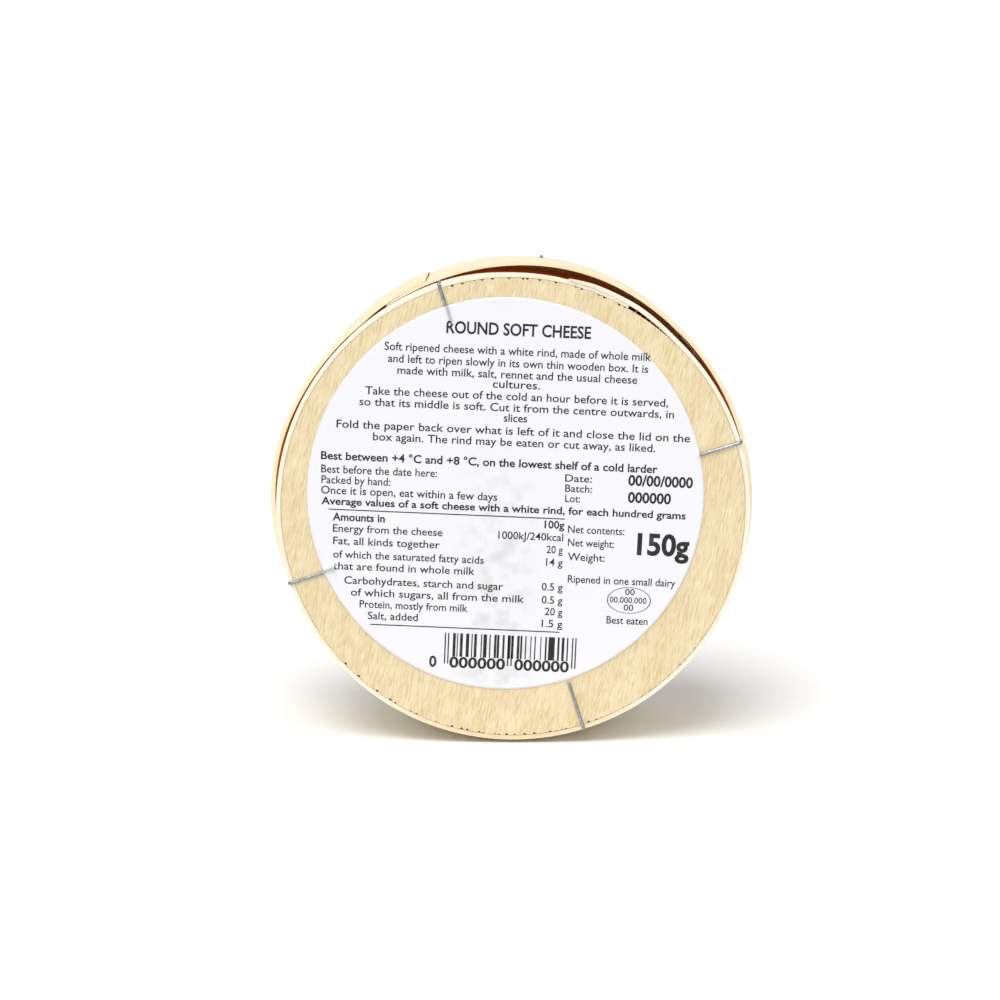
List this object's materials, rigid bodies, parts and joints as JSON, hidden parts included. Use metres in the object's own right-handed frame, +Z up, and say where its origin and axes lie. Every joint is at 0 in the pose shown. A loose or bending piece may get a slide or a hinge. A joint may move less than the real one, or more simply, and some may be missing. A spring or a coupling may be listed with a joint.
{
  "type": "round wooden cheese box",
  "caption": "Round box of bent poplar veneer with a stapled base and lid, a round paper label on the base, and a wrapped soft cheese inside; it stands on its rim.",
  "frame": {"origin": "on the surface the box stands on, below the middle of its outer box", "axes": "+Z up; +Y along the box's round axis, from the labelled base towards the lid; +X to the right of someone looking at the label"},
  "size_m": [0.0914, 0.032, 0.0906],
  "materials": {
    "poplar_face": "bare peeled poplar, fine straight grain, matt",
    "poplar_hoop": "bare poplar veneer bent along the grain, sawn cream-white edges",
    "label_paper": "smooth coated paper, printed in black",
    "staple_wire": "galvanised wire, satin",
    "cheese_rind": "white bloomy rind with faint ivory streaks",
    "waxed_paper": "thin waxed wrapping paper, slightly glossy"
  },
  "bodies": {
    "root": {"base_disc": "poplar_face", "base_hoop": "poplar_hoop", "base_label": "label_paper", "lid_disc": "poplar_face", "lid_hoop": "poplar_hoop", "base_staple_1": "staple_wire", "base_staple_2": "staple_wire", "base_staple_3": "staple_wire", "base_staple_4": "staple_wire", "lid_staple_1": "staple_wire", "lid_staple_2": "staple_wire", "lid_staple_3": "staple_wire", "lid_staple_4": "staple_wire", "base_lap_staple": "staple_wire", "lid_lap_staple": "staple_wire", "cheese_wheel": "cheese_rind", "wrap_paper": "waxed_paper"}
  },
  "joints": []
}
